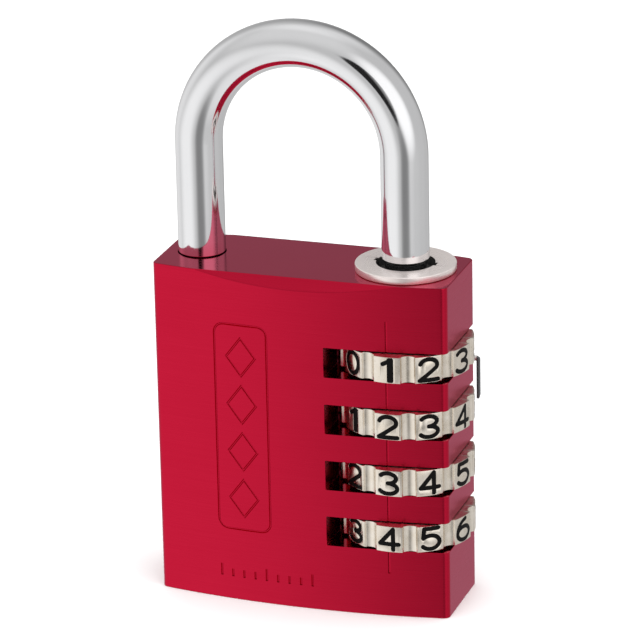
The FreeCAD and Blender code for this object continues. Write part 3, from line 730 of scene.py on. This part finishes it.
def make_shackle():
    """The bar as a stack of rings: up the long leg, over the bow and down to the toe."""
    bow_radius = (AXIS_X - TOE_X) / 2
    bow_x = (AXIS_X + TOE_X) / 2
    spigot_radius = 1.2
    spigot_chamfer = 0.2
    stem_end = BAR_BOTTOM + 1.4
    neck_bottom = 42.0
    neck_top = 47.0
    neck_slope = 0.4
    leg_end = TOP + 0.1
    toe_end = 40.8
    toe_chamfer = 0.6
    stations = [
        (BAR_BOTTOM, spigot_radius - spigot_chamfer),
        (BAR_BOTTOM + spigot_chamfer, spigot_radius),
        (stem_end, spigot_radius),
        (stem_end, STEM_RADIUS),
        (neck_bottom, STEM_RADIUS),
        (neck_bottom, NECK_RADIUS),
        (neck_top, NECK_RADIUS),
        (neck_top + neck_slope, BAR_RADIUS),
    ]
    rise = BOW_HEIGHT - neck_top - neck_slope
    for i in range(1, LEG_STEPS + 1):
        stations.append((neck_top + neck_slope + rise * i / (LEG_STEPS + 1), BAR_RADIUS))
    line = [(AXIS_X, z, 90.0, r) for z, r in stations]
    for i in range(BOW_STEPS + 1):
        angle = 180.0 * i / BOW_STEPS
        x = bow_x + bow_radius * math.cos(math.radians(angle))
        z = BOW_HEIGHT + bow_radius * math.sin(math.radians(angle))
        line.append((x, z, 90.0 + angle, BAR_RADIUS))
    for i in range(1, LEG_STEPS + 1):
        z = BOW_HEIGHT + (leg_end - BOW_HEIGHT) * i / LEG_STEPS
        line.append((TOE_X, z, 270.0, BAR_RADIUS))
    line.append((TOE_X, leg_end, 270.0, TOE_RADIUS))
    line.append((TOE_X, toe_end + toe_chamfer, 270.0, TOE_RADIUS))
    line.append((TOE_X, toe_end, 270.0, TOE_RADIUS - toe_chamfer))
    rings = []
    for x, z, course, radius in line:
        course = math.radians(course)
        side = Vector((math.sin(course), 0, -math.cos(course)))
        ring = []
        for j in range(BAR_STEPS):
            turn = 2 * math.pi * j / BAR_STEPS
            ring.append(
                Vector((x, 0, z)) + side * radius * math.cos(turn)
                + Vector((0, 1, 0)) * radius * math.sin(turn)
            )
        rings.append(ring)
    shackle = loft("shackle_bar_polished", rings)
    round_edges(shackle, width=0.12, angle=25)
    finish_piece(shackle, "shackle_bar", CHROME, ["shackle"])


make_shackle()


# ---------------------------------------------------------------- flange bush

def make_bush():
    """A flange, a barrel and a mouth painted dark as shade, a slot either side, turned about the
    long leg.
    """
    flange_radius = (BUSH_HIGH.x - BUSH_LOW.x) / 2
    flange_chamfer = 0.1
    barrel_radius = 5.48
    bore = 2.85
    mouth_radius = 3.85
    mouth_floor = BUSH_HIGH.z - 1.3
    rim = 0.12
    slot_reach = 4.15
    slot_half_width = 0.5
    slot_depth = 0.85
    shade_margin = 0.1
    section = [
        (bore, BUSH_LOW.z),
        (barrel_radius, BUSH_LOW.z),
        (barrel_radius, TOP),
        (flange_radius - flange_chamfer, TOP),
        (flange_radius, TOP + flange_chamfer),
    ]
    section += arc(flange_radius - rim, BUSH_HIGH.z - rim, rim, 0, 90, steps=6)
    section += [
        (mouth_radius, BUSH_HIGH.z),
        (mouth_radius, mouth_floor),
        (bore, mouth_floor),
    ]
    rings = [[(x, y, z) for x, y in circle(AXIS_X, 0, r)] for r, z in section]
    bush = loft("bush_turned", rings, closed=True)
    slots = rectangle(
        AXIS_X - slot_reach, -slot_half_width, AXIS_X + slot_reach, slot_half_width
    )
    combine(bush, prism("slots", slots, BUSH_HIGH.z - slot_depth, TOP + CLEAR), "DIFFERENCE")
    round_edges(bush, width=0.06, angle=40)
    finish_piece(bush, "lock_case", NICKEL, ["flange_bush"])
    # Faces down inside the mouth take the near-black material: painted shade for the recess.
    bush.data.materials.append(PAINTED_SHADE)
    for polygon in bush.data.polygons:
        middle = polygon.center / MM
        within = math.hypot(middle.x - AXIS_X, middle.y) < slot_reach + shade_margin
        if within and middle.z < BUSH_HIGH.z - shade_margin:
            polygon.material_index = 1


make_bush()


# ---------------------------------------------------------------- number wheels

WHEEL_RADIUS = 8.8
WHEEL_RIM = 0.12
WHEEL_BORE = 5.45
TOOTH_TIP = 4.98
TOOTH_BOTTOM = 0.65
TOOTH_DROP = 0.01
VALLEY_DEPTH = 0.65
VALLEY_STEP = 0.32
VALLEY_WALL = 5.6
VALLEY_MOUTH = 6.4
TOOTH_SPACE = 10.5
TOOTH_FLANK = 0.1
DIGIT_COUNT = 10
STEP = 360.0 / DIGIT_COUNT
PAD_STEPS = 8
WALL_STEPS = 3
FLUTE_STEPS = 8

STROKE = 0.6
STEM_SHIFT = 0.14
DIGIT_HALF_WIDTH = 1.26
DIGIT_HALF_HEIGHT = 1.42
DIGIT_DEPTH = 0.16
PEN_CAP = (20, 45, 70)
PAD_MIDDLE = (WHEEL_BOTTOM + WHEEL_TOP) / 2
# The cutter of the numbers stands this far out of the rim, and that of the paint below its floor.
CUTTER_OUT = 0.5
CUTTER_UNDER = 0.3
# Every point of a wheel stays this far within its radius, the paint in its numbers a bit further.
RIM_LEVEL = 0.01
PAINT_LEVEL = 0.05
BAND_STEPS = 240


def wheel_angles():
    """Angles from one pad's middle to the next, closer together on the walls of the valley."""
    pad_end = STEP / 2 - VALLEY_MOUTH
    wall_end = STEP / 2 - VALLEY_WALL
    wall = wall_end - pad_end
    marks = [pad_end * i / PAD_STEPS for i in range(PAD_STEPS + 1)]
    marks += [pad_end + wall * i / WALL_STEPS for i in range(1, WALL_STEPS + 1)]
    marks += [wall_end + VALLEY_WALL * i / FLUTE_STEPS for i in range(1, FLUTE_STEPS + 1)]
    marks += [STEP - a for a in reversed(marks[1:-1])]
    for flank in (TOOTH_SPACE, STEP - TOOTH_SPACE):
        marks += [flank - TOOTH_FLANK, flank + TOOTH_FLANK]
    return sorted(marks)


def rim_radius(angle):
    """Outer radius of a wheel at an angle from a pad's middle: a step, then a hollow flute."""
    off = abs(angle - STEP / 2)
    if off < VALLEY_WALL:
        flute = VALLEY_DEPTH - VALLEY_STEP
        return WHEEL_RADIUS - VALLEY_DEPTH + flute * (off / VALLEY_WALL) ** 2
    share = min(1.0, (off - VALLEY_WALL) / (VALLEY_MOUTH - VALLEY_WALL))
    return WHEEL_RADIUS - VALLEY_STEP * (1 + math.cos(math.pi * share)) / 2


def wheel_ring(radius_at, height):
    """A level ring whose radius follows a function of the angle within one step."""
    ring = []
    for sector in range(DIGIT_COUNT):
        for angle in wheel_angles():
            turn = math.radians(STEP * sector + angle)
            radius = radius_at(angle)
            ring.append((radius * math.sin(turn), -radius * math.cos(turn), height))
    return ring


def wheel_shell():
    """A wheel about its own axis: ten pads and valleys outside, clutch teeth inside."""
    def outer(limit):
        return lambda angle: min(rim_radius(angle), limit)

    def inner(angle):
        return WHEEL_BORE if abs(angle - STEP / 2) > STEP / 2 - TOOTH_SPACE else TOOTH_TIP

    def bore(angle):
        return WHEEL_BORE

    rings = [wheel_ring(bore, WHEEL_BOTTOM)]
    rims = ((WHEEL_BOTTOM, 1, (0.0, 0.5, 1.0)), (WHEEL_TOP, -1, (1.0, 0.5, 0.0)))
    for edge, inward, shares in rims:
        for share in shares:
            turn = math.radians(90 * share)
            limit = WHEEL_RADIUS - WHEEL_RIM * (1 - math.sin(turn))
            level = edge + inward * WHEEL_RIM * (1 - math.cos(turn))
            rings.append(wheel_ring(outer(limit), level))
    rings.append(wheel_ring(inner, WHEEL_TOP))
    rings.append(wheel_ring(inner, TOOTH_BOTTOM))
    rings.append(wheel_ring(bore, TOOTH_BOTTOM - TOOTH_DROP))
    return loft("wheel", rings, closed=True)


def digit_strokes():
    """The centre lines of the numbers 0 to 9, as drawn with one round pen."""
    w = DIGIT_HALF_WIDTH
    h = DIGIT_HALF_HEIGHT
    six = [
        arc(0.50 * w, -0.33 * h, 1.50 * w, 97, 180, 12, 1.33 * h),
        arc(0, -0.36 * h, w, 0, 200, 16, 0.64 * h),
        arc(0, -0.36 * h, w, 180, 380, 16, 0.64 * h),
    ]
    one = [[(0.36 * w + STEM_SHIFT, h), (-0.44 * w, 0.56 * h)]]
    for shift in (-STEM_SHIFT, STEM_SHIFT):
        one.append([(0.36 * w + shift, -h), (0.36 * w + shift, 0), (0.36 * w + shift, h)])
    return [
        [arc(0, 0, 0.92 * w, -10, 190, 24, h), arc(0, 0, 0.92 * w, 170, 370, 24, h)],
        one,
        [
            arc(0, 0.42 * h, 0.92 * w, 165, -30, 16, 0.58 * h) + [(-0.96 * w, -h)],
            [(-0.96 * w, -h), (0, -h), (w, -h)],
        ],
        [
            arc(-0.06 * w, 0.51 * h, 0.88 * w, 150, -90, 16, 0.49 * h),
            arc(-0.06 * w, -0.49 * h, w, 90, -150, 18, 0.51 * h),
        ],
        [
            [(0.42 * w, h), (-0.3 * w, 0.27 * h), (-w, -0.46 * h)],
            [(-w, -0.46 * h), (0, -0.46 * h), (w, -0.46 * h)],
            [(0.42 * w, h), (0.42 * w, 0), (0.42 * w, -h)],
        ],
        [
            [(0.86 * w, h), (0, h), (-0.70 * w, h)],
            [(-0.70 * w, h), (-0.80 * w, 0.12 * h)],
            arc(-0.02 * w, -0.34 * h, w, 140, -145, 20, 0.66 * h),
        ],
        six,
        [[(-0.96 * w, h), (0, h), (0.96 * w, h)], [(0.96 * w, h), (0.3 * w, 0), (-0.34 * w, -h)]],
        [
            arc(0, 0.50 * h, 0.82 * w, 0, 200, 14, 0.50 * h),
            arc(0, 0.50 * h, 0.82 * w, 180, 380, 14, 0.50 * h),
            arc(0, -0.48 * h, w, 0, 200, 16, 0.52 * h),
            arc(0, -0.48 * h, w, 180, 380, 16, 0.52 * h),
        ],
        [[(-x, -y) for x, y in stroke] for stroke in six],
    ]


def stroke_solid(line, turn, floor, outside):
    """One pen stroke wrapped on the wheel's rim, from one radius to another."""
    half = STROKE / 2
    points = [Vector(p) for p in line]
    headings = []
    for i in range(len(points)):
        ahead = points[min(i + 1, len(points) - 1)] - points[max(i - 1, 0)]
        headings.append(ahead.normalized())
    stations = [(point, ahead, half) for point, ahead in zip(points, headings)]
    for cap in reversed(PEN_CAP):
        angle = math.radians(cap)
        reach = half * math.sin(angle)
        start = points[0] - headings[0] * half * math.cos(angle)
        end = points[-1] + headings[-1] * half * math.cos(angle)
        stations.insert(0, (start, headings[0], reach))
        stations.append((end, headings[-1], reach))
    rings = []
    for point, ahead, reach in stations:
        side = Vector((-ahead.y, ahead.x)) * reach
        ring = []
        for sign, radius in ((-1, floor), (1, floor), (1, outside), (-1, outside)):
            across, up = point + side * sign
            angle = turn + across / WHEEL_RADIUS
            level = up + PAD_MIDDLE
            ring.append((radius * math.sin(angle), -radius * math.cos(angle), level))
        rings.append(ring)
    return loft("stroke", rings)


def all_digits(floor, outside):
    """Every number of a wheel, each on its own pad, as one mesh of overlapping strokes."""
    solids = []
    for digit, strokes in enumerate(digit_strokes()):
        for line in strokes:
            solids.append(stroke_solid(line, math.radians(STEP * digit), floor, outside))
    return join(solids)


def band(inner, outer, low, high):
    """A plain ring about the wheel's axis."""
    section = [(inner, low), (outer, low), (outer, high), (inner, high)]
    rings = [[(x, y, z) for x, y in circle(0, 0, r, BAND_STEPS)] for r, z in section]
    return loft("band", rings, closed=True)


def keep_within(piece, reach):
    """Pull in whatever stands further from the wheel's axis than its rim."""
    for vertex in piece.data.vertices:
        radius = math.hypot(vertex.co.x, vertex.co.y)
        if radius > reach:
            vertex.co.x *= reach / radius
            vertex.co.y *= reach / radius


def make_wheels():
    """One wheel and one set of painted numbers, copied to every window in its turn."""
    floor = WHEEL_RADIUS - DIGIT_DEPTH
    outside = WHEEL_RADIUS + CUTTER_OUT
    shell = wheel_shell()
    combine(shell, all_digits(floor, outside), "DIFFERENCE", overlapping=True)
    round_edges(shell, width=0.03, angle=86, segments=1)
    keep_within(shell, WHEEL_RADIUS - RIM_LEVEL)
    paint = band(floor, WHEEL_RADIUS - PAINT_LEVEL, WHEEL_BOTTOM, WHEEL_TOP)
    combine(paint, all_digits(floor - CUTTER_UNDER, outside), "INTERSECT", overlapping=True)
    for number in WHEELS:
        place = Matrix.Translation((AXIS_X, 0, wheel_height(number)))
        place = place @ Matrix.Rotation(math.radians(-STEP * number), 4, "Z")
        body = "wheel_%d" % number
        for base, kind, slot, material in (
            (shell, "wheel_dial_%d", "wheel_metal", WHEEL_METAL),
            (paint, "wheel_numbers_%d", "black_slider", BLACK),
        ):
            mesh = base.data.copy()
            mesh.transform(place)
            piece = bpy.data.objects.new(kind % number, mesh)
            SCENE.collection.objects.link(piece)
            nodes = ["number_wheel_%d" % number] if base is shell else []
            finish_piece(piece, body, material, nodes)
    bpy.data.objects.remove(shell)
    bpy.data.objects.remove(paint)


make_wheels()


# ---------------------------------------------------------------- reset slider

def make_slider():
    """A key in its slot, an arm behind the back face and a thin upright tab."""
    tab_left = 19.67
    tab_front = 8.2
    tab_top = 31.3
    arm_height = 0.45
    arm_inset = 0.01
    arm_overlap = 0.05
    slope_up = 0.35
    slope_in = 0.4
    bottom = SLIDER_LOW.z
    outer = SLIDER_HIGH.y
    outline = [
        (tab_front, bottom),
        (outer - slope_in, bottom),
        (outer, bottom + slope_up),
        (outer, tab_top - slope_up),
        (outer - slope_in, tab_top),
        (tab_front, tab_top),
    ]
    slider = prism_along_x("reset_slider_tab", outline, tab_left, SLIDER_HIGH.x)
    arm = rectangle(tab_front, tab_top - arm_height, outer - arm_inset, tab_top - arm_inset)
    combine(slider, prism_along_x("arm", arm, KEY_LEFT, tab_left + arm_overlap), "UNION")
    key = rectangle(SLIDER_LOW.y, KEY_BOTTOM, outer, KEY_TOP)
    combine(slider, prism_along_x("key", key, KEY_LEFT, KEY_RIGHT), "UNION")
    round_edges(slider, width=0.04, angle=25)
    for vertex in slider.data.vertices:
        vertex.co.y = min(vertex.co.y, SLIDER_HIGH.y)
        vertex.co.x = min(vertex.co.x, SLIDER_HIGH.x)
    finish_piece(slider, "reset", SLIDER, ["reset_slider"])
    slider.data.materials.append(NICKEL)
    for polygon in slider.data.polygons:
        if polygon.center.x / MM < tab_left - arm_overlap:
            polygon.material_index = 1


make_slider()


# ---------------------------------------------------------------- inner parts

def paint_node(node, material):
    """Give a CAD node that shows as it is a material of its own."""
    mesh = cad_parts[node].data
    mesh.materials.clear()
    mesh.materials.append(material)


for number in WHEELS:
    paint_node("clutch_sleeve_%d" % number, BRASS)
    paint_node("gate_pin_%d" % number, STEEL)
for node in ("shackle_spring", "stack_spring", "detent_spring", "plug_pin", "reset_guide_pin"):
    paint_node(node, STEEL)
for node in ("bottom_plug", "detent_plug"):
    paint_node(node, RED)


# ---------------------------------------------------------------- floor and light

FLOOR_HALF = 3000.0
FLOOR_LEVEL = -0.02
LIGHT_PLACE = Vector((0.1, -0.15, 1.3))
LIGHT_TARGET = Vector((0, 0, 0.035))
LIGHT_SIDE = 1.4
LIGHT_POWER = 22.0


def make_floor():
    square = rectangle(-FLOOR_HALF, -FLOOR_HALF, FLOOR_HALF, FLOOR_HALF)
    floor = mesh_object("floor", [(x, y, FLOOR_LEVEL) for x, y in square], [(0, 1, 2, 3)])
    floor.data.transform(Matrix.Scale(MM, 4))
    paint = Paint("pale_floor", (0.86, 0.86, 0.86), 0.0, 0.6)
    paint.bump(paint.noise((20, 20, 20)), 0.01)
    floor.data.materials.append(paint.material)
    floor.visible_glossy = False


def make_lamp():
    """A wide soft lamp overhead, hidden from mirror rays."""
    data = bpy.data.lights.new("top_soft", "AREA")
    data.shape = "RECTANGLE"
    data.size = LIGHT_SIDE
    data.size_y = LIGHT_SIDE
    data.energy = LIGHT_POWER
    light = bpy.data.objects.new("top_soft", data)
    light.location = LIGHT_PLACE
    light.rotation_mode = "QUATERNION"
    light.rotation_quaternion = (LIGHT_TARGET - LIGHT_PLACE).to_track_quat("-Z", "Y")
    light.visible_glossy = False
    SCENE.collection.objects.link(light)


def heading(azimuth, elevation):
    """Unit direction, azimuth 0 towards -Y and 90 towards +X, in degrees."""
    turn = math.radians(azimuth)
    rise = math.radians(elevation)
    return Vector((
        math.sin(turn) * math.cos(rise), -math.cos(turn) * math.cos(rise), math.sin(rise)
    ))


# Soft cards of the studio: azimuth, elevation, full within, gone beyond (all in degrees), and the
# brightness added. A dark card takes some away.
CARDS = (
    (-47, -20, 8, 42, 0.42),
    (20, -22, 5, 24, -0.36),
    (60, -15, 8, 40, 0.04),
    (13, 10, 13, 17, -0.72),
    (50, 18, 15, 40, 0.60),
    (20, -75, 15, 50, 0.30),
    (161, -20, 10, 45, -0.04),
    (198, 18, 14, 55, -0.40),
    (198, 66, 10, 42, 0.20),
    (-125, 0, 20, 60, 0.25),
    (-30, 60, 10, 50, 0.15),
)
CARD_BASE = 0.62
CARD_DARKEST = 0.02


def make_world():
    """A grey surround with the cards added to it, never darker than CARD_DARKEST."""
    world = bpy.data.worlds.new("studio")
    world.use_nodes = True
    SCENE.world = world
    tree = world.node_tree
    direction = tree.nodes.new("ShaderNodeTexCoord").outputs["Generated"]
    total = None
    for azimuth, elevation, inner, outer, gain in CARDS:
        dot = tree.nodes.new("ShaderNodeVectorMath")
        dot.operation = "DOT_PRODUCT"
        tree.links.new(direction, dot.inputs[0])
        dot.inputs[1].default_value = heading(azimuth, elevation)
        card = tree.nodes.new("ShaderNodeMapRange")
        card.interpolation_type = "SMOOTHSTEP"
        limits = (math.cos(math.radians(outer)), math.cos(math.radians(inner)), 0.0, gain)
        for number, limit in enumerate(limits, start=1):
            card.inputs[number].default_value = limit
        tree.links.new(dot.outputs["Value"], card.inputs[0])
        add = tree.nodes.new("ShaderNodeMath")
        add.operation = "ADD"
        tree.links.new(card.outputs[0], add.inputs[0])
        if total is None:
            add.inputs[1].default_value = CARD_BASE
        else:
            tree.links.new(total, add.inputs[1])
        total = add.outputs[0]
    lowest = tree.nodes.new("ShaderNodeMath")
    lowest.operation = "MAXIMUM"
    lowest.inputs[1].default_value = CARD_DARKEST
    tree.links.new(total, lowest.inputs[0])
    tree.links.new(lowest.outputs[0], tree.nodes["Background"].inputs["Strength"])
    tree.nodes["Background"].inputs["Color"].default_value = (1, 1, 1, 1)


make_floor()
make_world()
make_lamp()
SCENE.view_settings.view_transform = "Standard"
